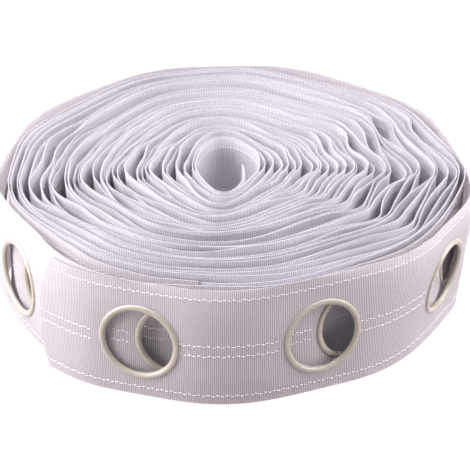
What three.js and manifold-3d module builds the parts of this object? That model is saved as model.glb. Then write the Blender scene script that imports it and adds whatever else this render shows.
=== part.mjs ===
// A loose roll of white curtain heading tape, standing on its edge, with moulded eyelets.
// Millimetres, +Z up. The free end of the tape lies at the front left, and -Y is the front.
import * as THREE from 'three';
import { mergeVertices } from 'three/addons/utils/BufferGeometryUtils.js';
import Module from 'manifold-3d';

const wasm = await Module();
wasm.setup();

// Tape
const TAPE_WIDTH = 100;
const TAPE_THICKNESS = 1.5;
const EDGE_BAND = 15;
const BEND_STEPS = 4;
const FLAT_STEPS = 4;

// Eyelets
const EYELET_OUTER_RADIUS = 32.6;
const EYELET_BORE_RADIUS = 27.75;
const EYELET_SLEEVE_RADIUS = 29.5;
const EYELET_RIM = 1.9;
const EYELET_HEIGHT = 48;
const FLAT = 33.2;
const EYELET_SEGMENTS = 20;
const CLEARANCE = 0.3;

// Wound body
const ROLL_GAP = 5.4;
const ROLL_TOP = 100;
const TURN_BANDS = 7;
const GROOVE_TIGHT = 1.6;
const GROOVE_LOOSE = 16;
const KINK = 0.035;
const HOLE = { x: -6.5, y: -0.5, halfWidth: 23.5, halfDepth: 54 };

// Second turn. Its eyelets lie this much further along the tape than the outer turn's, and face
// this share of the way towards the next eyelet's facing
const SECOND_EYELET_SHIFT = 31;
const SECOND_FACING_SHARE = 0.22;
const SECOND_TURN_GAP = 5.4;

// Where the outer turn passes, from its free end once around. facing is the direction of the outer
// face in degrees, flat the half length kept straight, lift the height of the lower edge, foot and
// brim how far the lower and the upper edge lean in from the middle. The second turn's eyelet sits
// inside by the next figure, and the last one is how far the second turn's upper edge leans in.
const STATIONS = [
  { x: -138, y: -155.5, facing: -128, flat: 0, lift: 0, foot: 6, brim: 6, inside: 0, inner: 0 },
  { x: -72, y: -188.5, facing: -108, flat: FLAT, lift: 0, foot: 1, brim: 1, inside: 10.8, inner: -2 },
  { x: 66, y: -179.5, facing: -66, flat: FLAT, lift: 0, foot: 1, brim: 0, inside: 10.8, inner: -3 },
  { x: 165.5, y: -90, facing: -31, flat: FLAT, lift: 0, foot: 5, brim: 0, inside: 12.5, inner: -3 },
  { x: 188, y: 42, facing: 11, flat: FLAT, lift: 0, foot: 7, brim: 0, inside: 18, inner: -3 },
  { x: 119, y: 149, facing: 51, flat: FLAT, lift: 1, foot: 4, brim: 1, inside: 16, inner: -2 },
  { x: -6, y: 199, facing: 92, flat: FLAT, lift: 2, foot: 2, brim: 1, inside: 10, inner: -1 },
  { x: -128, y: 145, facing: 131, flat: FLAT, lift: 3, foot: 3, brim: 1, inside: 12.6, inner: 1 },
  { x: -188, y: 28, facing: 172, flat: FLAT, lift: 5, foot: 6, brim: 2, inside: 11.4, inner: -1 },
  { x: -170, y: -102.5, facing: 209, flat: FLAT, lift: 6, foot: 6, brim: 5, inside: 11.2, inner: 4 },
];
const TAIL_END_COLUMN = 2;

const degrees = THREE.MathUtils.degToRad;
const mix = THREE.MathUtils.lerp;

// Outward normal of a column that faces a given direction.
function normalOf(facing) {
  return new THREE.Vector2(Math.cos(degrees(facing)), Math.sin(degrees(facing)));
}

// Direction in which the tape runs where it faces a given direction.
function runOf(facing) {
  return normalOf(facing + 90);
}

// A column of the tape: its place in plan, its facing, its lift and the lean of its two edges.
function column(place, facing, from, to, share) {
  return {
    place,
    facing,
    lift: mix(from.lift, to.lift, share),
    foot: mix(from.foot, to.foot, share),
    brim: mix(from.brim, to.brim, share),
  };
}

// The straight run that an eyelet keeps, as columns from its start to its end.
function flatColumns(station) {
  const columns = [];
  for (let step = 0; step <= FLAT_STEPS; step += 1) {
    const along = mix(-station.flat, station.flat, step / FLAT_STEPS);
    const place = new THREE.Vector2(station.x, station.y).addScaledVector(runOf(station.facing), along);
    columns.push(column(place, station.facing, station, station, 0));
  }
  return columns;
}

// The bend between two columns: a smooth curve that leaves and arrives along the tape's run.
function bendColumns(from, to) {
  const chord = from.place.distanceTo(to.place);
  const leave = runOf(from.facing).multiplyScalar(chord);
  const arrive = runOf(to.facing).multiplyScalar(chord);
  const columns = [];
  for (let step = 1; step <= BEND_STEPS; step += 1) {
    const t = step / (BEND_STEPS + 1);
    const place = from.place.clone().multiplyScalar(1 - 3 * t ** 2 + 2 * t ** 3)
      .addScaledVector(leave, t - 2 * t ** 2 + t ** 3)
      .addScaledVector(to.place, 3 * t ** 2 - 2 * t ** 3)
      .addScaledVector(arrive, t ** 3 - t ** 2);
    const slope = from.place.clone().multiplyScalar(6 * t ** 2 - 6 * t)
      .addScaledVector(leave, 1 - 4 * t + 3 * t ** 2)
      .addScaledVector(to.place, 6 * t - 6 * t ** 2)
      .addScaledVector(arrive, 3 * t ** 2 - 2 * t);
    const facing = THREE.MathUtils.radToDeg(Math.atan2(slope.y, slope.x)) - 90;
    columns.push(column(place, facing, from, to, t));
  }
  return columns;
}

// One whole turn as columns, from its first column. Its tail ends under that turn's own start, a
// given depth further in.
function turnColumns(start, stations, depth) {
  const columns = [start];
  for (const station of stations) {
    const flat = flatColumns(station);
    columns.push(...bendColumns(columns.at(-1), flat[0]), ...flat);
  }
  const cover = columns[TAIL_END_COLUMN];
  const place = cover.place.clone().addScaledVector(normalOf(cover.facing), -depth);
  const tail = { ...cover, place };
  columns.push(...bendColumns(columns.at(-1), tail), tail);
  return columns;
}

function outerTurnColumns() {
  const end = STATIONS[0];
  const start = column(new THREE.Vector2(end.x, end.y), end.facing, end, end, 0);
  return turnColumns(start, STATIONS.slice(1), ROLL_GAP - CLEARANCE);
}

// The turning from one facing to another, the short way round.
function turningTo(from, to) {
  return THREE.MathUtils.euclideanModulo(to - from + 180, 360) - 180;
}

// Where the second turn keeps its eyelets: inside the outer turn's and a little further along.
function secondStations() {
  const rows = STATIONS.slice(1);
  return rows.map((row, k) => {
    const after = rows[(k + 1) % rows.length];
    const facing = row.facing + SECOND_FACING_SHARE * turningTo(row.facing, after.facing);
    const place = new THREE.Vector2(row.x, row.y)
      .addScaledVector(runOf(row.facing), SECOND_EYELET_SHIFT)
      .addScaledVector(normalOf(facing), -row.inside);
    return { ...row, x: place.x, y: place.y, facing, brim: row.inner };
  });
}

// The second turn goes on where the outer turn's tail ends, one clearance further along.
function secondTurnColumns(outer) {
  const tail = outer.at(-1);
  const place = tail.place.clone().addScaledVector(runOf(tail.facing), 2 * CLEARANCE);
  return turnColumns({ ...tail, place }, secondStations(), SECOND_TURN_GAP - CLEARANCE);
}

// A point beside a column, a given distance out from the tape's middle plane.
function beside(spot, out, height) {
  const place = spot.place.clone().addScaledVector(normalOf(spot.facing), out);
  return new THREE.Vector3(place.x, place.y, height);
}

// Turns rows of sections into one closed mesh. An open sweep is capped at both ends by pairing the
// first half of each section with its second half, walked backwards.
function sweepSections(sections, isRing) {
  const size = sections[0].length;
  const positions = sections.flat().flatMap((point) => [point.x, point.y, point.z]);
  const index = [];
  const quad = (a, b, c, d) => index.push(a, b, c, a, c, d);
  const last = isRing ? sections.length : sections.length - 1;
  for (let row = 0; row < last; row += 1) {
    const next = (row + 1) % sections.length;
    for (let k = 0; k < size; k += 1) {
      const after = (k + 1) % size;
      quad(row * size + k, row * size + after, next * size + after, next * size + k);
    }
  }
  if (!isRing) {
    const end = (sections.length - 1) * size;
    for (let k = 0; k < size / 2 - 1; k += 1) {
      const mate = size - 1 - k;
      quad(k, mate, mate - 1, k + 1);
      quad(end + k, end + k + 1, end + mate - 1, end + mate);
    }
  }
  const geometry = new THREE.BufferGeometry();
  geometry.setAttribute('position', new THREE.Float32BufferAttribute(positions, 3));
  geometry.setIndex(index);
  return geometry;
}

// Six times the signed volume inside a mesh, negative when its faces point inwards.
function signedVolume(geometry) {
  const position = geometry.getAttribute('position');
  const corner = [new THREE.Vector3(), new THREE.Vector3(), new THREE.Vector3()];
  let sum = 0;
  for (let i = 0; i < geometry.index.count; i += 3) {
    corner.forEach((point, k) => point.fromBufferAttribute(position, geometry.index.getX(i + k)));
    sum += corner[0].dot(corner[1].cross(corner[2]));
  }
  return sum;
}

// A copy with shared corners merged and its faces pointing out.
function closed(geometry) {
  const bare = geometry.clone();
  bare.deleteAttribute('normal');
  bare.deleteAttribute('uv');
  const merged = mergeVertices(bare, 1e-4);
  if (signedVolume(merged) < 0) {
    const index = Array.from(merged.index.array);
    merged.setIndex(index.reverse());
  }
  return merged;
}

function toManifold(geometry) {
  const merged = closed(geometry);
  return new wasm.Manifold(new wasm.Mesh({
    numProp: 3,
    vertProperties: new Float32Array(merged.getAttribute('position').array),
    triVerts: new Uint32Array(merged.index.array),
  }));
}

function toGeometry(solid) {
  const mesh = solid.getMesh();
  const geometry = new THREE.BufferGeometry();
  geometry.setAttribute('position', new THREE.Float32BufferAttribute(mesh.vertProperties, 3));
  geometry.setIndex(Array.from(mesh.triVerts));
  geometry.computeVertexNormals();
  return geometry;
}

// A round cutter whose axis is level and points along a facing, from one depth to another.
function roundCutter(centre, facing, radius, inner, outer) {
  const cutter = new THREE.CylinderGeometry(radius, radius, outer - inner, EYELET_SEGMENTS);
  cutter.translate(0, (inner + outer) / 2, 0);
  cutter.rotateZ(degrees(facing - 90));
  cutter.translate(centre.x, centre.y, centre.z);
  return toManifold(cutter);
}

// Where a turn's eyelets sit.
function eyeletSeats(stations) {
  return stations.map((station) => ({
    centre: new THREE.Vector3(station.x, station.y, station.lift + EYELET_HEIGHT),
    facing: station.facing,
  }));
}

// One turn: an upright strip with leaning edges and a round hole at each eyelet.
function turnStrip(columns, seats) {
  const half = TAPE_THICKNESS / 2;
  const rows = [0, EDGE_BAND, TAPE_WIDTH - EDGE_BAND, TAPE_WIDTH];
  const sections = columns.map((spot) => {
    const leans = [spot.foot, 0, 0, spot.brim];
    const face = (side) => rows.map((row, k) => beside(spot, side - leans[k], spot.lift + row));
    return [...face(half), ...face(-half).reverse()];
  });
  let strip = toManifold(sweepSections(sections, false));
  for (const eyelet of seats) {
    const reach = TAPE_THICKNESS * 2;
    const radius = EYELET_SLEEVE_RADIUS + CLEARANCE;
    strip = strip.subtract(roundCutter(eyelet.centre, eyelet.facing, radius, -reach, reach));
  }
  return toGeometry(strip);
}

// The hole's rim on the line from its centre through a point.
function holeRim(point) {
  const angle = Math.atan2((point.y - HOLE.y) / HOLE.halfDepth, (point.x - HOLE.x) / HOLE.halfWidth);
  const blend = Math.atan2(point.y - HOLE.y, point.x - HOLE.x);
  const turn = Math.atan2(
    Math.sin(angle) * 0.35 + Math.sin(blend) * 0.65,
    Math.cos(angle) * 0.35 + Math.cos(blend) * 0.65,
  );
  return new THREE.Vector2(
    HOLE.x + HOLE.halfWidth * Math.cos(turn),
    HOLE.y + HOLE.halfDepth * Math.sin(turn),
  );
}

// How loose the turns lie at a bearing: 0 at the tight front and back, 1 at the loose sides.
function looseness(bearing) {
  return Math.max(0, Math.abs(Math.cos(bearing)) * 1.25 - 0.25);
}

// One section of the wound body, from its foot up the outside, over the ridged top, down the hole.
function rollSection(spot, out) {
  const foot = beside(spot, out - spot.foot, 0);
  const low = beside(spot, out, spot.lift + EDGE_BAND);
  const high = beside(spot, out, spot.lift + TAPE_WIDTH - EDGE_BAND);
  const brim = beside(spot, out - spot.brim, spot.lift + ROLL_TOP);
  const rim = holeRim(brim);
  const bearing = Math.atan2(brim.y, brim.x);
  const loose = looseness(bearing);
  const top = [];
  const steps = TURN_BANDS * 2;
  for (let step = 1; step <= steps; step += 1) {
    const isGroove = step % 2 === 1;
    const band = Math.floor(step / 2);
    const drift = 0.5 + 0.5 * Math.cos(3 * bearing + 2.1 * band);
    const kink = KINK * loose * Math.sin(Math.PI * step / steps) * Math.cos(9 * bearing + 1.3 * band);
    const share = step / steps - kink;
    const depth = isGroove ? GROOVE_TIGHT + GROOVE_LOOSE * loose ** 2 * (0.45 + 0.55 * drift) : 0;
    top.push(new THREE.Vector3(
      mix(brim.x, rim.x, share),
      mix(brim.y, rim.y, share),
      mix(brim.z, ROLL_TOP, step / steps) - depth,
    ));
  }
  const hollow = new THREE.Vector3(rim.x, rim.y, 0);
  return [foot, low, high, brim, ...top, hollow];
}

// The wound body: every turn inside the second one, as one ring-shaped solid.
function woundRoll(columns) {
  const clear = -TAPE_THICKNESS / 2 - SECOND_TURN_GAP;
  const close = -TAPE_THICKNESS / 2 - CLEARANCE;
  const tail = BEND_STEPS + 1;
  const sections = [];
  for (let k = TAIL_END_COLUMN + 1; k < columns.length; k += 1) {
    const share = Math.max(0, (k - (columns.length - 1 - tail)) / tail);
    sections.push(rollSection(columns[k], mix(clear, close, share)));
  }
  return toGeometry(toManifold(sweepSections(sections, true)));
}

// Two half-round rims joined by a sleeve, with a groove that the tape's edge sits in.
function eyeletRing() {
  const groove = TAPE_THICKNESS / 2 + CLEARANCE;
  const face = groove + EYELET_RIM;
  const crown = (EYELET_BORE_RADIUS + EYELET_OUTER_RADIUS) / 2;
  const side = [
    [EYELET_SLEEVE_RADIUS, groove],
    [EYELET_OUTER_RADIUS, groove],
    [EYELET_OUTER_RADIUS - 0.9, face - 0.5],
    [crown, face],
    [EYELET_BORE_RADIUS, face - 1.2],
  ];
  const mirrored = side.map(([radius, height]) => [radius, -height]).reverse();
  return latheRing([...side, ...mirrored]);
}

function latheRing(profile) {
  const points = [...profile, profile[0]].map(([radius, height]) => new THREE.Vector2(radius, height));
  const geometry = closed(new THREE.LatheGeometry(points, EYELET_SEGMENTS));
  geometry.computeVertexNormals();
  return geometry;
}

function tapeCloth() {
  return new THREE.MeshStandardMaterial({ color: 0xf1eef1, roughness: 0.9, metalness: 0 });
}

function ivoryPlastic() {
  return new THREE.MeshStandardMaterial({ color: 0xcfc6ad, roughness: 0.35, metalness: 0 });
}

function named(name, geometry, material) {
  const mesh = new THREE.Mesh(geometry, material);
  mesh.name = name;
  return mesh;
}

// An eyelet turned so that its axis, the lathe's Y, points along its facing.
function placedEyelet(name, geometry, eyelet) {
  const mesh = named(name, geometry, ivoryPlastic());
  mesh.position.copy(eyelet.centre);
  mesh.rotation.z = degrees(eyelet.facing - 90);
  return mesh;
}

function buildRoll() {
  const outer = outerTurnColumns();
  const second = secondTurnColumns(outer);
  const outerSeats = eyeletSeats(STATIONS.slice(1));
  const secondSeats = eyeletSeats(secondStations());
  const roll = new THREE.Group();
  roll.add(named('wound_roll', woundRoll(second), tapeCloth()));
  roll.add(named('outer_turn', turnStrip(outer, outerSeats), tapeCloth()));
  roll.add(named('second_turn', turnStrip(second, secondSeats), tapeCloth()));
  outerSeats.forEach((seat, k) => {
    roll.add(placedEyelet(`eyelet_${k + 1}`, eyeletRing(), seat));
  });
  secondSeats.forEach((seat, k) => {
    roll.add(placedEyelet(`second_eyelet_${k + 1}`, eyeletRing(), seat));
  });
  return roll;
}

// The roll stands with the middle of its box over the origin.
function centred(roll) {
  const box = new THREE.Box3().setFromObject(roll, true);
  roll.position.set(-(box.min.x + box.max.x) / 2, -(box.min.y + box.max.y) / 2, 0);
  return roll;
}

const model = new THREE.Group();
model.add(centred(buildRoll()));

export default model;
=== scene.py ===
"""A loose roll of white curtain heading tape with moulded eyelets, standing on its edge."""
import logging
import math
from dataclasses import dataclass, field, replace
from enum import Enum

import bpy
import numpy as np
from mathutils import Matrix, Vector


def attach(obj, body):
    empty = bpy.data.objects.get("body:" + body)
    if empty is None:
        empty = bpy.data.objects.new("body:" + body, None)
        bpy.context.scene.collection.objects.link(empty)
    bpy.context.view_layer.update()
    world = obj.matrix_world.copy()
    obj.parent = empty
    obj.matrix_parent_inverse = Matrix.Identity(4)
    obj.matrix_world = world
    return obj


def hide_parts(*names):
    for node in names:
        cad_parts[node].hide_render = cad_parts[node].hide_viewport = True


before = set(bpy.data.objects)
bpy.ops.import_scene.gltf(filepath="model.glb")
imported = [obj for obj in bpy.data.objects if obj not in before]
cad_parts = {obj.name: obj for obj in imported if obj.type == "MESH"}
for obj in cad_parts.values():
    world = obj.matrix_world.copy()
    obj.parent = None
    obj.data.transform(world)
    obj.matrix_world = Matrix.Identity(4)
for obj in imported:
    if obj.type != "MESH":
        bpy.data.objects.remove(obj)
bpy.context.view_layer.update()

LOG = logging.getLogger("tape_roll")
MM = 0.001
FULL_TURN = 2.0 * math.pi


class Level(Enum):
    """The heights across the tape's width at which its turns are laid out, as shares of it."""

    FOOT = 0.0
    MIDDLE = 0.5
    BRIM = 1.0


@dataclass(frozen=True)
class Weave:
    """The tape as it comes off the loom, in millimetres."""

    width: float = 100.0
    rib_pitch: float = 1.5
    pick_pitch: float = 1.1
    stitch_rows: tuple[float, ...] = (8.0, 44.0, 52.5, 92.0)
    stitch_pitch: float = 3.65


@dataclass(frozen=True)
class EyeletSize:
    """One moulded eyelet, in millimetres."""

    bore_radius: float = 27.5
    outer_radius: float = 32.1
    hole_radius: float = 29.8
    rim: float = 1.5
    seat: float = 0.55
    height: float = 48.0
    flat: float = 33.2


@dataclass(frozen=True)
class Station:
    """A place that the outer turn passes, in millimetres and degrees.

    facing is the direction of the outer face, flat the half length kept straight, lift the height
    of the lower edge, foot and brim the lean of the two edges inwards, inside how far within it the
    second turn's eyelet sits, inner the second turn's brim, tilt the lean of the whole face, with
    its upper edge outwards, in degrees, and shift how far along the second turn's eyelet sits.
    """

    x: float
    y: float
    facing: float
    flat: float
    lift: float
    foot: float
    brim: float
    inside: float = 0.0
    inner: float = 0.0
    tilt: float = 0.0
    shift: float = 31.0


SIZE = EyeletSize()
WEAVE = Weave()
CENTRING = (-0.572, 0.429)
SECOND_FACING_SHARE = 0.22
SECOND_FOOT = -4.0
THIRD_TURN_GAP = 7.0

STATIONS = (
    Station(-149.5, -146.5, -128, 0, 0, 3, 4),
    Station(-72, -188.5, -108, SIZE.flat, 0, 1, 1, 10.8, -5, 0, 28),
    Station(66, -179.5, -66, SIZE.flat, 0, 1, 0, 10.8, -6),
    Station(165.5, -90, -29, SIZE.flat, 0, -5, 4, 14.3, -4, 9, 47),
    Station(182, 42, 10, SIZE.flat, 0, 6, 1, 13, -3),
    Station(119, 149, 51, SIZE.flat, 1, 4, 1, 16, -2),
    Station(-6, 199, 92, SIZE.flat, 2, 2, 1, 10, -1),
    Station(-127, 144, 134.5, SIZE.flat, 3, 3, 1.5, 12.6, 1),
    Station(-187.5, 28, 170, SIZE.flat, 5, 2, 2, 11.4, -1),
    Station(-170, -102.5, 209, SIZE.flat, 6, 4, 5, 11.2, 4),
)


def facing_vector(degrees: float) -> np.ndarray:
    """The level unit vector that points along a facing."""
    return np.array([math.cos(math.radians(degrees)), math.sin(math.radians(degrees))])


def ease(value: np.ndarray) -> np.ndarray:
    """A soft step from 0 to 1."""
    t = np.clip(value, 0.0, 1.0)
    return t * t * (3.0 - 2.0 * t)


def wrapped(angle: np.ndarray) -> np.ndarray:
    """An angle brought to the range from minus half a turn to half a turn."""
    return (angle + math.pi) % FULL_TURN - math.pi


@dataclass
class SmoothNoise:
    """Seeded noise along one coordinate: random knots joined by soft steps.

    spacing is the distance between knots and start the knot that coordinate 0 falls on.
    """

    seed: int
    spacing: float
    count: int = 4000
    start: float = 64.0

    def __post_init__(self) -> None:
        """Draws the knots."""
        self.knots = np.random.default_rng(self.seed).normal(0.0, 1.0, self.count)

    def at(self, coordinate: np.ndarray) -> np.ndarray:
        """The noise at each coordinate.

        Args:
            coordinate: Places along the line, in the units of spacing.

        Returns:
            Values with a mean of about 0 and a spread of about 1.
        """
        place = np.asarray(coordinate, float) / self.spacing + self.start
        low = np.floor(place).astype(int)
        share = ease(place - low)
        first = self.knots[low % self.count]
        second = self.knots[(low + 1) % self.count]
        return first + (second - first) * share


@dataclass
class SheetMesh:
    """A flat net of quads on the tape, before it gets its thickness.

    along and across are the net's places on the tape in millimetres, and quads its faces.
    """

    along: np.ndarray
    across: np.ndarray
    quads: np.ndarray

    def rim_edges(self) -> np.ndarray:
        """Finds the net's open edges.

        Returns:
            Pairs of points, each in the direction of the edge's own face.
        """
        edges = np.concatenate([self.quads[:, [k, (k + 1) % 4]] for k in range(4)])
        key = np.sort(edges, axis=1)
        code = key[:, 0].astype(np.int64) * (len(self.along) + 1) + key[:, 1]
        _, first, count = np.unique(code, return_index=True, return_counts=True)
        return edges[first[count == 1]]

    def thicken(self, name: str, middle: np.ndarray, thickness: float) -> bpy.types.Object:
        """Makes the closed cloth: an outer face, an inner face and the rims between.

        Args:
            name: The new object's name.
            middle: The place of each net point in space, in millimetres.
            thickness: The cloth's thickness in millimetres.

        Returns:
            The new object, at the origin.
        """
        corners = middle[self.quads]
        faces = np.cross(corners[:, 2] - corners[:, 0], corners[:, 3] - corners[:, 1])
        normals = np.zeros_like(middle)
        for k in range(4):
            np.add.at(normals, self.quads[:, k], faces)
        normals /= np.linalg.norm(normals, axis=1, keepdims=True) + 1e-12
        count = len(middle)
        half = thickness / 2.0
        points = np.concatenate([middle + normals * half, middle - normals * half])
        rim = self.rim_edges()
        walls = np.stack([rim[:, 1], rim[:, 0], rim[:, 0] + count, rim[:, 1] + count], axis=1)
        quads = np.concatenate([self.quads, self.quads[:, ::-1] + count, walls])
        chart = np.stack([np.tile(self.along, 2), np.tile(self.across, 2)], axis=1)
        return mesh_object(name, points * MM, quads, chart / WEAVE.width)


def grid_quads(columns: int, rows: int) -> np.ndarray:
    """Numbers the quads of a net whose points run up each column in turn.

    Args:
        columns: How many columns of points it has.
        rows: How many points each column has.

    Returns:
        The four corners of each quad.
    """
    low = (np.arange(columns - 1)[:, None] * rows + np.arange(rows - 1)[None, :]).ravel()
    return np.stack([low, low + rows, low + rows + 1, low + 1], axis=1)


def mesh_object(
    name: str, points: np.ndarray, quads: np.ndarray, chart: np.ndarray
) -> bpy.types.Object:
    """Makes an object from arrays.

    Args:
        name: The object's name.
        points: Its corners, in metres.
        quads: Its four-sided faces.
        chart: A place on the tape for each corner, as a UV map.

    Returns:
        The object, linked to the scene and smooth but for its sharp edges.
    """
    mesh = bpy.data.meshes.new(name)
    mesh.vertices.add(len(points))
    mesh.vertices.foreach_set("co", points.astype(np.float32).ravel())
    mesh.loops.add(quads.size)
    mesh.loops.foreach_set("vertex_index", quads.astype(np.int32).ravel())
    mesh.polygons.add(len(quads))
    mesh.polygons.foreach_set("loop_start", np.arange(0, quads.size, 4, dtype=np.int32))
    mesh.update(calc_edges=True)
    layer = mesh.uv_layers.new(name="tape")
    layer.data.foreach_set("uv", chart[quads.ravel()].astype(np.float32).ravel())
    mesh.validate()
    mesh.shade_smooth()
    mesh.set_sharp_from_angle(angle=math.radians(50.0))
    thing = bpy.data.objects.new(name, mesh)
    bpy.context.scene.collection.objects.link(thing)
    return thing


@dataclass
class TapePath:
    """The route of the two outer turns in plan, from the free end inwards, in millimetres.

    straight_band is the half height about the eyelets that keeps to the straight runs, foot_band and
    brim_band the heights of the edges that lean, edge_curve how sharply they curl over, and sway and
    rise how far the edges wander sideways and upwards.
    """

    stations: tuple[Station, ...]
    step: float = 1.0
    straight_band: float = 26.0
    foot_band: float = 30.0
    brim_band: float = 34.0
    edge_curve: float = 1.7
    brim_sway: float = 0.5
    foot_sway: float = 0.4
    rise: float = 0.45
    knots: list = field(default_factory=list)

    def __post_init__(self) -> None:
        """Lays out the first turn, then the second one inside it."""
        self._start(self.stations[0])
        for station in self.stations[1:]:
            self._visit(station)
        self._tabulate()
        self.first_eyelets = list(self.eyelets)
        self._second_turn()
        self._tabulate()
        self.softened = self._soften()

    def _start(self, station: Station) -> None:
        """Begins the route at the free end."""
        place = np.array([station.x, station.y]) + CENTRING
        self.knots = [(place, station.facing, *self._sides(station))]
        self.eyelets = []

    def _sides(self, station: Station) -> tuple[float, ...]:
        """What the two edges and the face do at a station."""
        return station.lift, station.foot, station.brim, math.tan(math.radians(station.tilt))

    def _append_bend(self, place: np.ndarray, facing: float, sides: tuple[float, ...]) -> None:
        """Adds a smooth bend that arrives at a place along the tape's run there.

        Args:
            place: Where the bend ends, in plan.
            facing: The facing of the tape's outer face there.
            sides: What the edges and the face do there.
        """
        start, start_facing, *start_sides = self.knots[-1]
        chord = float(np.linalg.norm(place - start))
        leave = facing_vector(start_facing + 90.0) * chord
        arrive = facing_vector(facing + 90.0) * chord
        for t in np.linspace(0.0, 1.0, max(int(chord / self.step), 2))[1:]:
            spot = start * (1 - 3 * t**2 + 2 * t**3) + leave * (t - 2 * t**2 + t**3)
            spot = spot + place * (3 * t**2 - 2 * t**3) + arrive * (t**3 - t**2)
            slope = (start - place) * (6 * t**2 - 6 * t) + leave * (1 - 4 * t + 3 * t**2)
            slope = slope + arrive * (3 * t**2 - 2 * t)
            turned = math.degrees(math.atan2(slope[1], slope[0])) - 90.0
            mixed = [a + (b - a) * t for a, b in zip(start_sides, sides)]
            self.knots.append((spot, turned, *mixed))

    def _visit(self, station: Station) -> None:
        """Adds the bend up to a station, then its straight run.

        Args:
            station: The place to pass, which gets an eyelet.
        """
        run = facing_vector(station.facing + 90.0)
        centre = np.array([station.x, station.y]) + CENTRING
        sides = self._sides(station)
        self._append_bend(centre - run * station.flat, station.facing, sides)
        for along in np.arange(-station.flat, station.flat, self.step)[1:]:
            self.knots.append((centre + run * along, station.facing, *sides))
        self.knots.append((centre + run * station.flat, station.facing, *sides))
        self.eyelets.append((centre, station.facing, station.lift, station.tilt))

    def _tabulate(self) -> None:
        """Works out the length along the route and the tables that are read by it."""
        self.places = np.array([knot[0] for knot in self.knots])
        steps = np.linalg.norm(np.diff(self.places, axis=0), axis=1)
        self.lengths = np.concatenate([[0.0], np.cumsum(steps)])
        self.facings = np.unwrap(np.radians([knot[1] for knot in self.knots]))
        self.sides = np.array([knot[2:] for knot in self.knots])
        self.eyelet_lengths = [self.length_near(centre) for centre, *_ in self.eyelets]

    def length_near(self, place: np.ndarray) -> float:
        """The length along the route at the point closest to a place."""
        return float(self.lengths[np.argmin(np.linalg.norm(self.places - place, axis=1))])

    def _second_turn(self) -> None:
        """Continues the route inside the first turn, with its eyelets a little further along."""
        rows = self.stations[1:]
        following = rows[1:] + rows[:1]
        spots = []
        for row, after in zip(rows, following):
            turn = (after.facing - row.facing + 180.0) % 360.0 - 180.0
            facing = row.facing + SECOND_FACING_SHARE * turn
            place = np.array([row.x, row.y]) + facing_vector(row.facing + 90.0) * row.shift
            x, y = place - facing_vector(facing) * row.inside
            spots.append(replace(
                row, x=x, y=y, facing=facing, foot=SECOND_FOOT, brim=row.inner, tilt=0.0
            ))
        for spot in spots:
            self._visit(spot)
        first = spots[0]
        x, y = np.array([first.x, first.y]) - facing_vector(first.facing) * THIRD_TURN_GAP
        self._visit(replace(first, x=x, y=y, flat=first.flat * 0.5))
        self.eyelets.pop()

    def footprint(self, within: float, start: float = 60.0, spacing: float = 20.0) -> np.ndarray:
        """Draws a loop in plan that lies a little within the first turn.

        Args:
            within: How far within it, in millimetres.
            start: The length along the route where the loop starts.
            spacing: The length between its corners.

        Returns:
            The loop's corners, in millimetres.
        """
        spots = []
        for length in np.arange(start, self.eyelet_lengths[len(self.first_eyelets)], spacing):
            facing = float(np.interp(length, self.lengths, self.facings))
            place = [np.interp(length, self.lengths, self.places[:, k]) for k in (0, 1)]
            spots.append(np.array(place) - within * facing_vector(math.degrees(facing)))
        return np.array(spots)

    def _soften(self, reach: int = 30, spacing: float = 1.5, spread: float = 18.0) -> np.ndarray:
        """Evens out the route's straight runs and bends, for the edges to follow.

        Args:
            reach: How many samples to average on each side.
            spacing: The length between samples, in millimetres.
            spread: How far the average reaches, in millimetres.

        Returns:
            The softened places, which meet the route at its two ends.
        """
        offsets = np.arange(-reach, reach + 1) * spacing
        weights = np.exp(-0.5 * (offsets / spread) ** 2)
        weights /= weights.sum()
        total = np.zeros_like(self.places)
        for offset, weight in zip(offsets, weights):
            length = self.lengths + offset
            total += weight * np.stack([self._read(length, self.places[:, k]) for k in (0, 1)], 1)
        end_length = 60.0
        from_end = np.minimum(self.lengths, self.lengths[-1] - self.lengths)
        margin = ease(from_end / end_length)[:, None]
        return self.places + (total - self.places) * margin

    def _read(self, along: np.ndarray, values: np.ndarray) -> np.ndarray:
        """One of the route's tables, read at lengths along it."""
        return np.interp(along, self.lengths, values)

    def surface(self, along: np.ndarray, across: np.ndarray) -> np.ndarray:
        """Where points of the tape lie in space.

        Args:
            along: Lengths from the free end, in millimetres.
            across: Heights above the tape's lower edge, in millimetres.

        Returns:
            One place for each point, in millimetres.
        """
        band = self.straight_band
        spread = ease((np.abs(across - SIZE.height) - band) / band)
        x, y = (
            self._read(along, self.places[:, k]) * (1 - spread)
            + self._read(along, self.softened[:, k]) * spread
            for k in (0, 1)
        )
        facing = self._read(along, self.facings)
        lift, foot, brim, tilt = (self._read(along, self.sides[:, k]) for k in range(4))
        low = np.clip((self.foot_band - across) / self.foot_band, 0.0, 1.0) ** self.edge_curve
        above = across - (WEAVE.width - self.brim_band)
        high = np.clip(above / self.brim_band, 0.0, 1.0) ** self.edge_curve
        foot_sway = self.foot_sway * EDGE_SWAY.at(along + FOOT_SWAY_START)
        sway = self.brim_sway * EDGE_SWAY.at(along) * high + foot_sway * low
        inwards = foot * low + brim * high + sway - tilt * (across - SIZE.height)
        rise = self.rise * EDGE_RISE.at(along) * (across / WEAVE.width)
        return np.stack([
            x - np.cos(facing) * inwards,
            y - np.sin(facing) * inwards,
            lift + across + rise,
        ], axis=1)


EDGE_SWAY = SmoothNoise(seed=21, spacing=45.0)
EDGE_RISE = SmoothNoise(seed=22, spacing=70.0)
FOOT_SWAY_START = 900.0


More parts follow.
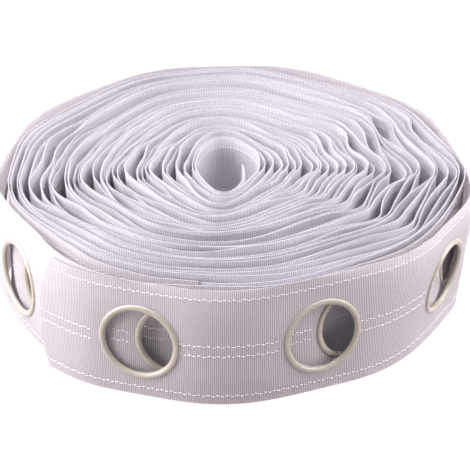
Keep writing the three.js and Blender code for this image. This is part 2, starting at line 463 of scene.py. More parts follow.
@dataclass
class OuterTurns:
    """The two outer turns of the tape, with a round hole at each eyelet, in millimetres.

    block is the half length of the net around a hole, bow how far the free end's cut edge is bowed,
    with low_bow of it below the middle, rings, columns and crowding lay out the net around a hole.
    """

    path: TapePath
    thickness: float = 0.8
    block: float = 39.0
    bow: float = 11.0
    low_bow: float = 0.35
    rows: tuple[float, ...] = (0, 4, 12, 22, 34, 46, 58, 70, 82, 91, 97, 100)
    column_step: float = 4.5
    rings: int = 4
    columns: int = 14
    crowding: float = 0.8

    def build(self) -> bpy.types.Object:
        """Builds the cloth of both turns.

        Returns:
            One closed strip, from the free end to where the wound turns begin.
        """
        nets = []
        start = 0.0
        centres = self.path.eyelet_lengths
        for centre in centres:
            nets.append(self._plain_net(start, centre - self.block))
            nets.append(self._holed_net(centre))
            start = centre + self.block
        nets.append(self._plain_net(start, float(self.path.lengths[-1])))
        net = self._joined(nets)
        first = np.clip(1.0 - net.along / (centres[0] - self.block), 0.0, 1.0)
        net.along = net.along + self.end_cut(net.across) * first
        middle = self.path.surface(net.along, net.across)
        return net.thicken("outer_turns", middle, self.thickness)

    def end_cut(self, across: np.ndarray) -> np.ndarray:
        """How far the free end's cut edge lies back from its foremost point at each height."""
        high = 2.0 * across / WEAVE.width - 1.0
        return self.bow * high**2 * np.where(high > 0.0, 1.0, self.low_bow)

    def _plain_net(self, start: float, end: float) -> SheetMesh:
        """Lays out a net without a hole.

        Args:
            start: The length along the tape where it begins.
            end: The length where it ends.

        Returns:
            The net.
        """
        count = max(int((end - start) / self.column_step), 1) + 1
        along, across = np.meshgrid(np.linspace(start, end, count), self.rows, indexing="ij")
        return SheetMesh(along.ravel(), across.ravel(), grid_quads(count, len(self.rows)))

    def _holed_net(self, centre: float) -> SheetMesh:
        """Lays out a net around a hole, from the block's straight sides in to the circle.

        Args:
            centre: The length along the tape of the hole's middle.

        Returns:
            The net.
        """
        left, right = centre - self.block, centre + self.block
        rows = np.array(self.rows, float)
        lengths = np.linspace(left, right, self.columns + 1)
        border = [(length, rows[0]) for length in lengths[:-1]]
        border += [(right, row) for row in rows[:-1]]
        border += [(length, rows[-1]) for length in lengths[:0:-1]]
        border += [(left, row) for row in rows[:0:-1]]
        outside = np.array(border)
        from_centre = outside - [centre, SIZE.height]
        turn = np.arctan2(from_centre[:, 1], from_centre[:, 0])
        even = turn[0] + np.linspace(0.0, FULL_TURN, len(turn), endpoint=False)
        turn = np.unwrap(turn) * 0.5 + even * 0.5
        circle = np.stack([np.cos(turn), np.sin(turn)], axis=1) * SIZE.hole_radius
        circle += [centre, SIZE.height]
        shares = np.linspace(0.0, 1.0, self.rings + 1) ** self.crowding
        points = np.concatenate([outside + (circle - outside) * share for share in shares])
        size = len(outside)
        quads = []
        for ring in range(self.rings):
            for k in range(size):
                after = (k + 1) % size
                low, high = ring * size, (ring + 1) * size
                quads.append((low + k, low + after, high + after, high + k))
        return SheetMesh(points[:, 0], points[:, 1], np.array(quads))

    def _joined(self, nets: list[SheetMesh]) -> SheetMesh:
        """Joins nets that share their straight sides.

        Args:
            nets: The nets in order along the tape.

        Returns:
            One net, with a single point where two nets met.
        """
        per_mm = 50.0
        offsets = np.cumsum([0] + [len(net.along) for net in nets[:-1]])
        along = np.concatenate([net.along for net in nets])
        across = np.concatenate([net.across for net in nets])
        quads = np.concatenate([net.quads + offset for net, offset in zip(nets, offsets)])
        key = np.stack([np.round(along * per_mm), np.round(across * per_mm)], axis=1)
        _, first, inverse = np.unique(key, axis=0, return_index=True, return_inverse=True)
        return SheetMesh(along[first], across[first], inverse.ravel()[quads])


@dataclass(frozen=True)
class FoldRow:
    """A row of lens-shaped gaps, one behind the other, on one side of the wound turns.

    bearing and sway are in degrees and place the row, scatter is how far single gaps stray from it,
    reach the half length of a gap in millimetres, size how wide it opens against its neighbours,
    chance how many turns have one, and depth the share of the turns, from outside, that it spans.
    """

    bearing: float
    sway: float
    scatter: float
    reach: tuple[float, float]
    size: tuple[float, float]
    chance: float
    depth: tuple[float, float]


@dataclass(frozen=True)
class LevelShape:
    """What one level of the wound turns does: all three levels share one plan.

    calm is how far the gaps between turns are evened out, hollow how deep the two hollows behind
    the front are, in millimetres, and kink the share of the side kinks that it takes.
    """

    calm: float
    hollow: float
    kink: float


LEVEL_SHAPES = {
    Level.FOOT: LevelShape(0.5, 3.0, 0.7),
    Level.MIDDLE: LevelShape(0.3, 9.0, 0.8),
    Level.BRIM: LevelShape(0.0, 0.0, 1.0),
}


@dataclass
class WoundTurns:
    """All the turns inside the two outer ones, as one continuous strip wound down to the hole.

    Lengths are in millimetres, bearings in degrees and end_turn in turns. hole_x to hole_back and
    hole_pinch lay out the hole, kink to kink_spread the bends at the left and the right, lean_in and
    lean_out the brims at the front and the back, and tuck how far the first turn lies below the
    second outer one. tightest to loose_curve say how wide the gaps open, and neighbours how far a
    gap looks to either side to share out the room.
    """

    path: TapePath
    turns: int = 32
    thickness: float = 0.7
    column_step: float = 3.3
    rows: tuple[float, ...] = (0.0, 0.3, 0.6, 0.85, 1.0)
    hole_x: float = -10.0
    hole_half_width: float = 21.5
    hole_front: float = -58.0
    hole_back: float = 42.0
    hole_pinch: float = 0.16
    end_turn: float = 0.3
    end_curl: float = 7.0
    kink: float = 10.0
    kinks: tuple[tuple[float, float], ...] = ((-8.0, 14.0), (194.0, 185.0))
    kink_core: float = 0.08
    kink_spread: float = 0.34
    hollows: tuple[float, ...] = (-97.0, -60.0)
    hollow_spread: float = 0.22
    lean_in: float = 5.0
    lean_out: float = 4.0
    tuck: float = 1.0
    softness: float = 1.5
    tightest: float = 0.16
    looseness: float = 0.85
    loose_shift: float = 0.25
    loose_limit: float = 1.8
    loose_curve: float = 1.1
    neighbours: tuple[tuple[int, float], ...] = ((1, 0.75), (2, 0.4), (3, 0.15))
    seed: int = 14
    fold_rows: tuple[FoldRow, ...] = (
        FoldRow(199.0, 6.0, 7.0, (36, 66), (1.0, 5.0), 0.7, (0.1, 1.0)),
        FoldRow(166.0, 8.0, 10.0, (34, 62), (1.0, 5.0), 0.6, (0.1, 0.9)),
        FoldRow(-22.0, 6.0, 7.0, (36, 66), (2.0, 8.0), 0.8, (0.0, 1.0)),
        FoldRow(10.0, 8.0, 9.0, (32, 60), (2.0, 8.0), 0.8, (0.0, 1.0)),
        FoldRow(38.0, 9.0, 12.0, (30, 55), (1.0, 4.0), 0.45, (0.1, 1.0)),
        FoldRow(235.0, 9.0, 12.0, (30, 55), (1.0, 3.5), 0.35, (0.1, 1.0)),
    )

    def __post_init__(self) -> None:
        """Reads the second turn as a radius for each bearing, and draws the folds."""
        self.slack = SmoothNoise(seed=8, spacing=210.0)
        self.rise = SmoothNoise(seed=9, spacing=170.0)
        self.outer = {level: self._outer_radius(level) for level in Level}
        self.start = float(self.outer[Level.MIDDLE][0][-1]) - FULL_TURN
        self.folds = self._folds()

    def _outer_radius(self, level: Level) -> tuple[np.ndarray, np.ndarray, np.ndarray]:
        """Reads the last turn of the outer path, and a bit before it.

        Args:
            level: The height on the tape to read it at.

        Returns:
            Bearings, the radius at each and how far the tape stands above the table there.
        """
        last = self.path.lengths[-1]
        length = np.append(np.arange(last * 0.4, last, 2.0), last)
        points = self.path.surface(length, np.full(len(length), level.value * WEAVE.width))
        bearing = np.unwrap(np.arctan2(points[:, 1], points[:, 0]))
        radius = np.hypot(points[:, 0], points[:, 1])
        lift = points[:, 2] - level.value * WEAVE.width
        return bearing, radius, lift

    def _folds(self) -> list[tuple[float, float, float]]:
        """Draws the lens-shaped gaps, row by row.

        Returns:
            The middle and the half length of each gap, in turns, and its size.
        """
        dice = np.random.default_rng(self.seed)
        folds = []
        for row in self.fold_rows:
            for whole in range(self.turns):
                share = whole / self.turns
                if not row.depth[0] <= share <= row.depth[1] or dice.random() > row.chance:
                    continue
                sway = row.sway * math.sin(0.9 * whole + row.bearing)
                sway += dice.normal(0.0, row.scatter)
                bearing = math.radians(row.bearing + sway)
                middle = whole + ((bearing - self.start) % FULL_TURN) / FULL_TURN
                reach = dice.uniform(*row.reach) / (FULL_TURN * (185.0 - 135.0 * share))
                folds.append((middle, reach, dice.uniform(*row.size)))
        return folds

    def _hole_radius(self, bearing: np.ndarray) -> np.ndarray:
        """Measures the hole about the roll's middle, drawn in towards the front and the back.

        Args:
            bearing: Directions from the middle, in radians.

        Returns:
            The hole's radius in each direction.
        """
        turn = np.linspace(0.0, FULL_TURN, 721)
        narrow = 1.0 - self.hole_pinch * np.abs(np.sin(turn)) ** 3
        x = self.hole_x + self.hole_half_width * np.cos(turn) * narrow
        reach = np.where(np.sin(turn) > 0.0, self.hole_back, -self.hole_front)
        y = reach * np.sin(turn)
        angle = np.unwrap(np.arctan2(y, x))
        place = np.mod(bearing - angle[0], FULL_TURN) + angle[0]
        return np.interp(place, angle, np.hypot(x, y))

    def _weight(self, turn: np.ndarray, calm: float) -> np.ndarray:
        """How much of the room the gap inside a place on the tape takes.

        Args:
            turn: Places on the tape, in turns from the start of the wound part.
            calm: 0 for the full folds, up to 1 for even gaps.

        Returns:
            Weights with a mean of about 1.
        """
        middle = self._opening(turn)
        around = middle * 1.0
        total = 1.0
        for away, weight in self.neighbours:
            around = around + weight * (self._opening(turn + away) + self._opening(turn - away))
            total += 2.0 * weight
        even = middle * total / around
        return even * (1.0 - calm) + calm

    def _opening(self, turn: np.ndarray) -> np.ndarray:
        """Says how far the gap inside a place on the tape would open by itself.

        Args:
            turn: Places on the tape, in turns from the start of the wound part.

        Returns:
            Openings, of which only the ratio to their neighbours counts.
        """
        share = np.clip(turn / self.turns, 0.0, 1.0)
        length = FULL_TURN * (188.0 * turn - 75.0 * turn * share)
        slack = np.clip(self.slack.at(length) + self.loose_shift, 0.0, self.loose_limit)
        opening = self.tightest + self.looseness * slack**self.loose_curve
        for middle, reach, size in self.folds:
            away = np.clip(np.abs(turn - middle) / reach, 0.0, 1.0)
            opening = opening + size * (1.0 - away**2) ** 2
        return opening

    def _share(self, turn: np.ndarray, calm: float) -> np.ndarray:
        """Says how far in a place on the tape lies.

        Args:
            turn: Places on the tape, in turns from the start of the wound part.
            calm: 0 for the full folds, up to 1 for even gaps.

        Returns:
            Shares of the room, from 0 at the pack's outside to 1 at the hole.
        """
        whole = np.minimum(np.floor(turn + 1e-9), self.turns).astype(int)
        part = np.clip(turn - whole, 0.0, 1.0)
        rows = np.arange(-1, self.turns)
        weights = self._weight(rows[:, None] + part[None, :], calm)
        weights[0] *= part
        weights[-1] *= 1.0 - part
        full = weights.sum(axis=0)
        sums = np.concatenate([np.zeros((1, len(turn))), np.cumsum(weights, axis=0)])
        return sums[whole + 1, np.arange(len(turn))] / full

    def _radius(self, turn: np.ndarray, level: Level) -> np.ndarray:
        """Lays out the tape's middle plane.

        Args:
            turn: Places on the tape, in turns from the start of the wound part.
            level: The height on the tape.

        Returns:
            The distance of each place from the roll's middle.
        """
        shape = LEVEL_SHAPES[level]
        bearing = self.start + FULL_TURN * turn
        table, radii, _ = self.outer[level]
        end = float(table[-1])
        around = np.where(turn <= 0, end - FULL_TURN, self._last_turn(bearing, end))
        part = np.mod(turn, 1.0)
        step_in = float(np.interp(end - FULL_TURN, table, radii) - radii[-1])
        outside = np.interp(around, table, radii) - step_in * (1.0 - part)
        for place in self.hollows:
            away = wrapped(bearing - math.radians(place)) / self.hollow_spread
            outside = outside - shape.hollow * np.exp(-(away**2))
        hole = self._hole_radius(bearing)
        share = self._share(turn, shape.calm)
        bent = 0.0
        for outer_bearing, inner_bearing in self.kinks:
            centre = np.radians(outer_bearing + (inner_bearing - outer_bearing) * share)
            away = np.sqrt(wrapped(bearing - centre) ** 2 + self.kink_core**2)
            bent = bent + np.exp(-away / self.kink_spread)
        swell = self.kink * shape.kink * np.sin(math.pi * share) ** 0.8
        curl = self.end_curl * ease((turn - self.turns) / self.end_turn)
        lean = self._lean(bearing, share) if level is Level.BRIM else 0.0
        return outside - (outside - hole) * share + swell * bent + lean - curl

    def _lean(self, bearing: np.ndarray, share: np.ndarray) -> np.ndarray:
        """Leans the brims inwards at the front of the roll and outwards at its back.

        Args:
            bearing: The direction of each place from the middle, in radians.
            share: How far in each place lies, from 0 to 1.

        Returns:
            How far the brim leans outwards.
        """
        side = np.sin(bearing)
        lean = np.where(side > 0.0, self.lean_out, -self.lean_in) * side**2
        return lean * ease(share * 6.0)

    def _last_turn(self, bearing: np.ndarray, end: float) -> np.ndarray:
        """Bearings brought to the turn that ends at the end of the outer path."""
        return end - FULL_TURN + np.mod(bearing - end, FULL_TURN)

    def _turn_places(self) -> np.ndarray:
        """Spaces the net's columns evenly along the tape, and notes the tape's length.

        Returns:
            Places on the tape, in turns, about one column step apart.
        """
        last = self.turns + self.end_turn
        fine = np.linspace(0.0, last, int(last * 600) + 1)
        radius = self._radius(fine, Level.BRIM)
        bearing = self.start + FULL_TURN * fine
        x, y = radius * np.cos(bearing), radius * np.sin(bearing)
        length = np.concatenate([[0.0], np.cumsum(np.hypot(np.diff(x), np.diff(y)))])
        count = int(length[-1] / self.column_step)
        self.length = float(length[-1])
        return np.interp(np.linspace(0.0, length[-1], count), length, fine)

    def layout(self) -> tuple[SheetMesh, np.ndarray]:
        """Lays the strip out.

        Returns:
            The net on the tape, and the place of each of its points in space.
        """
        turn = self._turn_places()
        radii = [self._radius(turn, level) for level in Level]
        bearing = self.start + FULL_TURN * turn
        share = np.clip(turn / self.turns, 0.0, 1.0)
        length = np.linspace(0.0, self.length, len(turn))
        table, _, lifts = self.outer[Level.FOOT]
        around = self._last_turn(bearing, float(table[-1]))
        base = np.interp(around, table, lifts) * np.exp(-4.0 * share)
        start_in = ease(length / 120.0)
        rise = np.clip(1.8 + 1.6 * self.rise.at(length), 0.0, 5.5)
        base = base + rise * start_in * (0.5 + 0.5 * ease(share * 5.0))
        height = WEAVE.width - self.tuck * (1.0 - ease(length / 70.0))
        rows = np.array(self.rows)
        along, across = np.meshgrid(length, rows * WEAVE.width, indexing="ij")
        foot, middle, brim = (radius[:, None] for radius in radii)
        v = rows[None, :]
        radius = foot * (1 - v) * (1 - 2 * v) + middle * 4 * v * (1 - v) + brim * v * (2 * v - 1)
        points = np.stack([
            radius * np.cos(bearing)[:, None],
            radius * np.sin(bearing)[:, None],
            base[:, None] + v * height[:, None],
        ], axis=2)
        points = self._smoothed(points).reshape(-1, 3)
        quads = grid_quads(len(turn), len(rows))
        return SheetMesh(along.ravel(), across.ravel(), quads), points

    def _smoothed(self, points: np.ndarray) -> np.ndarray:
        """Rounds every bend of the strip a little, but for its two ends.

        Args:
            points: The strip's points, column by column.

        Returns:
            The rounded points.
        """
        reach = 4
        offsets = np.arange(-reach, reach + 1)
        weights = np.exp(-0.5 * (offsets / self.softness) ** 2)
        padded = np.concatenate([points[:1]] * reach + [points] + [points[-1:]] * reach)
        starts = offsets + reach
        total = sum(w * padded[k:k + len(points)] for k, w in zip(starts, weights))
        return total / weights.sum()

    def build(self) -> bpy.types.Object:
        """Builds the wound strip as one closed piece of cloth."""
        net, points = self.layout()
        LOG.info("wound turns: %.2f m of tape", self.length * MM)
        return net.thicken("wound_turns", points, self.thickness)


@dataclass
class NodeTree:
    """A small helper that adds nodes to a tree and joins them."""

    tree: bpy.types.NodeTree

    def add(self, kind: str, values: dict | None = None, **settings: object) -> bpy.types.Node:
        """Adds a node, sets its properties and fills or links its inputs.

        Args:
            kind: The node's type name.
            values: For each input, by name or number, a value or a socket to link from.
            **settings: Properties of the node.

        Returns:
            The node.
        """
        node = self.tree.nodes.new(kind)
        for name, value in settings.items():
            setattr(node, name, value)
        for key, value in (values or {}).items():
            if isinstance(value, bpy.types.NodeSocket):
                self.tree.links.new(value, node.inputs[key])
            else:
                node.inputs[key].default_value = value
        return node

    def math(self, operation: str, *values: object) -> bpy.types.NodeSocket:
        """Adds a Math node and returns its result."""
        node = self.add("ShaderNodeMath", dict(enumerate(values)), operation=operation)
        return node.outputs[0]


def blank_material(name: str) -> tuple[bpy.types.Material, NodeTree]:
    """Makes a material with no nodes in it.

    Args:
        name: The material's name.

    Returns:
        The material and its tree.
    """
    material = bpy.data.materials.new(name)
    material.use_nodes = True
    material.node_tree.nodes.clear()
    return material, NodeTree(material.node_tree)


def geometry_group(
    name: str, inputs: dict[str, tuple[str, float | None]]
) -> tuple[NodeTree, dict]:
    """Starts a Geometry Nodes tree with a geometry input and named sizes.

    Args:
        name: The tree's name.
        inputs: For each input its socket type and default value.

    Returns:
        The tree and its input sockets by name, with the geometry under "Geometry".
    """
    group = bpy.data.node_groups.new(name, "GeometryNodeTree")
    group.interface.new_socket("Geometry", in_out="INPUT", socket_type="NodeSocketGeometry")
    for label, (kind, value) in inputs.items():
        socket = group.interface.new_socket(label, in_out="INPUT", socket_type=kind)
        if value is not None:
            socket.default_value = value
    group.interface.new_socket("Geometry", in_out="OUTPUT", socket_type="NodeSocketGeometry")
    tree = NodeTree(group)
    start = tree.add("NodeGroupInput")
    return tree, {socket.name: socket for socket in start.outputs if socket.name}


def seed_points(
    name: str, points: list, facings: list, edges: list[tuple[int, int]]
) -> bpy.types.Object:
    """Makes the points that a tree sets its pieces on.

    Args:
        name: The name of the pieces to come.
        points: The place of each piece, in metres.
        facings: The direction that each piece faces.
        edges: The pairs of points that follow each other in a row.

    Returns:
        An object that carries the points, with a facing on each.
    """
    mesh = bpy.data.meshes.new(name + "_points")
    mesh.from_pydata([tuple(point) for point in points], edges, [])
    facing = mesh.attributes.new("facing", "FLOAT_VECTOR", "POINT")
    facing.data.foreach_set("vector", np.array(facings, np.float32).ravel())
    seed_object = bpy.data.objects.new(name + "_points", mesh)
    bpy.context.scene.collection.objects.link(seed_object)
    return seed_object


def facing_of_points(tree: NodeTree) -> bpy.types.NodeSocket:
    """Adds a node that reads the facing kept on each point."""
    attribute = tree.add("GeometryNodeInputNamedAttribute", data_type="FLOAT_VECTOR")
    attribute.inputs["Name"].default_value = "facing"
    return attribute.outputs[0]


def set_on_points(
    tree: NodeTree, given: dict, piece: object, turn: object, finish: str
) -> NodeTree:
    """Ends a tree: sets a piece on each point, makes the copies real and dresses them.

    Args:
        tree: The tree.
        given: Its input sockets by name.
        piece: The socket of the piece's mesh.
        turn: The socket of its rotation.
        finish: The name of the input that holds the material.

    Returns:
        The finished tree.
    """
    placed = tree.add("GeometryNodeInstanceOnPoints", {
        "Points": given["Geometry"],
        "Instance": piece,
        "Rotation": turn,
    })
    real = tree.add("GeometryNodeRealizeInstances", {0: placed.outputs[0]})
    smooth = tree.add("GeometryNodeSetShadeSmooth", {"Geometry": real.outputs[0]})
    dressed = tree.add(
        "GeometryNodeSetMaterial", {"Geometry": smooth.outputs[0], "Material": given[finish]}
    )
    tree.add("NodeGroupOutput", {0: dressed.outputs[0]})
    return tree


def baked(
    name: str, seed_object: bpy.types.Object, tree: NodeTree, values: dict
) -> bpy.types.Object:
    """Runs a tree on an object and keeps the result as a plain mesh object.

    Args:
        name: The new object's name.
        seed_object: The object that carries the tree's input geometry, which is removed.
        tree: The Geometry Nodes tree.
        values: A value for each named input.

    Returns:
        The new object, at the origin.
    """
    modifier = seed_object.modifiers.new("make", "NODES")
    modifier.node_group = tree.tree
    for item in tree.tree.interface.items_tree:
        if item.item_type == "SOCKET" and item.in_out == "INPUT" and item.name in values:
            modifier[item.identifier] = values[item.name]
    seen = bpy.context.evaluated_depsgraph_get()
    mesh = bpy.data.meshes.new_from_object(seed_object.evaluated_get(seen))
    mesh.name = name
    bpy.data.objects.remove(seed_object)
    thing = bpy.data.objects.new(name, mesh)
    bpy.context.scene.collection.objects.link(thing)
    return thing


@dataclass(frozen=True)
class ClothFinish:
    """White woven polyester with fine cross ribs, which lets half of the light through.

    furrow_painted_shade is how much darker the colour is painted in the furrows between the ribs
    and cross threads, as painted shade, rib_share and pick_share how much of the relief the ribs and
    the cross threads make, stitch_painted_highlight how much lighter the stitch dashes are painted,
    as a painted highlight on the raised thread, painted_brim_shade how much darker the upper edge is
    painted from brim_from of the width on, as painted shade where the light from above falls full on
    it, and see_through the share of light that passes.
    """

    name: str
    stitched: bool
    # The tape's white with a lavender tint, partly painted shade: the tint stands for the lavender
    # shade in the roll's gaps.
    base: tuple[float, float, float] = (0.91, 0.885, 0.93)
    # Painted shade: how much darker the furrows between the ribs and cross threads are painted.
    furrow_painted_shade: float = 0.58
    rib_share: float = 0.7
    pick_share: float = 0.3
    # Painted highlight: how much lighter the stitch dashes are painted, standing for light caught by
    # the raised thread.
    stitch_painted_highlight: float = 0.6
    brightest: float = 1.06
    roughness: float = 0.78
    sheen: float = 0.12
    # Painted shade: how much darker the upper edge is painted, against the full light from above on
    # it.
    painted_brim_shade: float = 0.42
    brim_from: float = 0.9985
    see_through: float = 0.5

    def material(self) -> bpy.types.Material:
        """Builds the material from the tape's own chart, where one unit is the tape's width.

        Returns:
            The material.
        """
        cloth, tree = blank_material(self.name)
        chart = tree.add("ShaderNodeUVMap", uv_map="tape")
        split = tree.add("ShaderNodeSeparateXYZ", {0: chart.outputs["UV"]})
        along, across = split.outputs[0], split.outputs[1]
        per_rib = FULL_TURN * WEAVE.width / WEAVE.rib_pitch
        per_pick = FULL_TURN * WEAVE.width / WEAVE.pick_pitch
        rib = tree.math("SINE", tree.math("MULTIPLY", along, per_rib))
        half_rib = tree.math("MULTIPLY", along, per_rib / 2.0)
        pick_place = tree.math("ADD", tree.math("MULTIPLY", across, per_pick), half_rib)
        pick = tree.math("MULTIPLY", tree.math("SINE", pick_place), self.pick_share)
        relief = tree.math("ADD", tree.math("MULTIPLY", rib, self.rib_share), pick)
        height = relief
        lit = relief
        if self.stitched:
            stitch = self._stitch_relief(tree, along, across)
            height = tree.math("ADD", relief, stitch)
            # The dashes sit on the real stitch rows; their lightening of the colour is painted
            # highlight, besides their bump.
            lit = tree.math("MULTIPLY_ADD", stitch, self.stitch_painted_highlight, relief)
        place = tree.add("ShaderNodeTexCoord")
        cloud = tree.add(
            "ShaderNodeTexNoise", {"Vector": place.outputs["Object"], "Scale": 14.0, "Detail": 3.0}
        )
        # Painted shade: the weave's relief also darkens the colour in its furrows, on top of the
        # bump.
        half_furrow_shade = self.furrow_painted_shade * 0.5
        shade = tree.math("MULTIPLY_ADD", lit, half_furrow_shade, 1.0 - half_furrow_shade)
        shade = tree.math("MINIMUM", shade, self.brightest)
        # Painted shade: the top edge and the topmost sliver of the faces are painted darker where
        # the overhead light falls full on them.
        brim = tree.math("GREATER_THAN", across, self.brim_from)
        painted_brim_darkening = tree.math("MULTIPLY_ADD", brim, -self.painted_brim_shade, 1.0)
        clouding = tree.math("MULTIPLY_ADD", cloud.outputs[0], 0.06, 0.97)
        shade = tree.math("MULTIPLY", tree.math("MULTIPLY", shade, painted_brim_darkening), clouding)
        tint = tree.add("ShaderNodeVectorMath", {0: self.base, "Scale": shade}, operation="SCALE")
        bump = tree.add(
            "ShaderNodeBump", {"Strength": 0.55, "Distance": 0.0004, "Height": height}
        )
        skin = tree.add("ShaderNodeBsdfPrincipled", {
            "Base Color": tint.outputs[0],
            "Roughness": self.roughness,
            "Sheen Weight": self.sheen,
            "Sheen Roughness": 0.5,
            "Specular IOR Level": 0.3,
            "Normal": bump.outputs[0],
        })
        glow = tree.add("ShaderNodeBsdfTranslucent", {"Color": tint.outputs[0]})
        both = tree.add(
            "ShaderNodeMixShader", {0: self.see_through, 1: skin.outputs[0], 2: glow.outputs[0]}
        )
        tree.add("ShaderNodeOutputMaterial", {"Surface": both.outputs[0]})
        return cloth

    def _stitch_relief(
        self, tree: NodeTree, along: bpy.types.NodeSocket, across: bpy.types.NodeSocket
    ) -> bpy.types.NodeSocket:
        """Raises dashes on the rows where the tape is stitched.

        Args:
            tree: The material's tree.
            along: The socket of the place along the tape, in widths.
            across: The socket of the place across it, in widths.

        Returns:
            The socket of the dashes' height.
        """
        half_width = 0.009
        per_stitch = FULL_TURN * WEAVE.width / WEAVE.stitch_pitch
        dash = tree.math("SINE", tree.math("MULTIPLY", along, per_stitch))
        total = None
        for row in WEAVE.stitch_rows:
            off = tree.math("ABSOLUTE", tree.math("SUBTRACT", across, row / WEAVE.width))
            line = tree.math("SUBTRACT", 1.0, tree.math("DIVIDE", off, half_width))
            line = tree.math("MAXIMUM", line, 0.0)
            total = line if total is None else tree.math("ADD", total, line)
        return tree.math("MULTIPLY", total, tree.math("MULTIPLY_ADD", dash, 1.2, 1.2))


@dataclass(frozen=True)
class PlasticFinish:
    """Ivory moulded plastic with a satin skin."""

    name: str = "eyelet_plastic"
    base: tuple[float, float, float] = (0.31, 0.282, 0.232)
    roughness: float = 0.24

    def material(self) -> bpy.types.Material:
        """Builds the material, with faint clouding and moulding texture.

        Returns:
            The material.
        """
        plastic, tree = blank_material(self.name)
        place = tree.add("ShaderNodeTexCoord").outputs["Object"]
        cloud = tree.add("ShaderNodeTexNoise", {"Vector": place, "Scale": 60.0, "Detail": 4.0})
        grain = tree.add("ShaderNodeTexNoise", {"Vector": place, "Scale": 2200.0, "Detail": 2.0})
        shade = tree.math("MULTIPLY_ADD", cloud.outputs[0], 0.14, 0.93)
        tint = tree.add("ShaderNodeVectorMath", {0: self.base, "Scale": shade}, operation="SCALE")
        rough = tree.math("MULTIPLY_ADD", cloud.outputs[0], 0.12, self.roughness - 0.06)
        bump = tree.add(
            "ShaderNodeBump", {"Strength": 0.2, "Distance": 0.00015, "Height": grain.outputs[0]}
        )
        skin = tree.add("ShaderNodeBsdfPrincipled", {
            "Base Color": tint.outputs[0],
            "Roughness": rough,
            "Coat Weight": 0.15,
            "Coat Roughness": 0.2,
            "Normal": bump.outputs[0],
        })
        tree.add("ShaderNodeOutputMaterial", {"Surface": skin.outputs[0]})
        return plastic


@dataclass(frozen=True)
class ThreadFinish:
    """White sewing thread."""

    name: str = "stitch_thread"
    base: tuple[float, float, float] = (0.68, 0.66, 0.675)
    roughness: float = 0.45

    def material(self) -> bpy.types.Material:
        """Builds the material, with a fine twist along the thread.

        Returns:
            The material.
        """
        thread, tree = blank_material(self.name)
        place = tree.add("ShaderNodeTexCoord").outputs["Object"]
        twist = tree.add("ShaderNodeTexNoise", {"Vector": place, "Scale": 1500.0})
        shade = tree.math("MULTIPLY_ADD", twist.outputs[0], 0.12, 0.92)
        tint = tree.add("ShaderNodeVectorMath", {0: self.base, "Scale": shade}, operation="SCALE")
        skin = tree.add("ShaderNodeBsdfPrincipled", {
            "Base Color": tint.outputs[0],
            "Roughness": self.roughness,
            "Sheen Weight": 0.2,
        })
        tree.add("ShaderNodeOutputMaterial", {"Surface": skin.outputs[0]})
        return thread


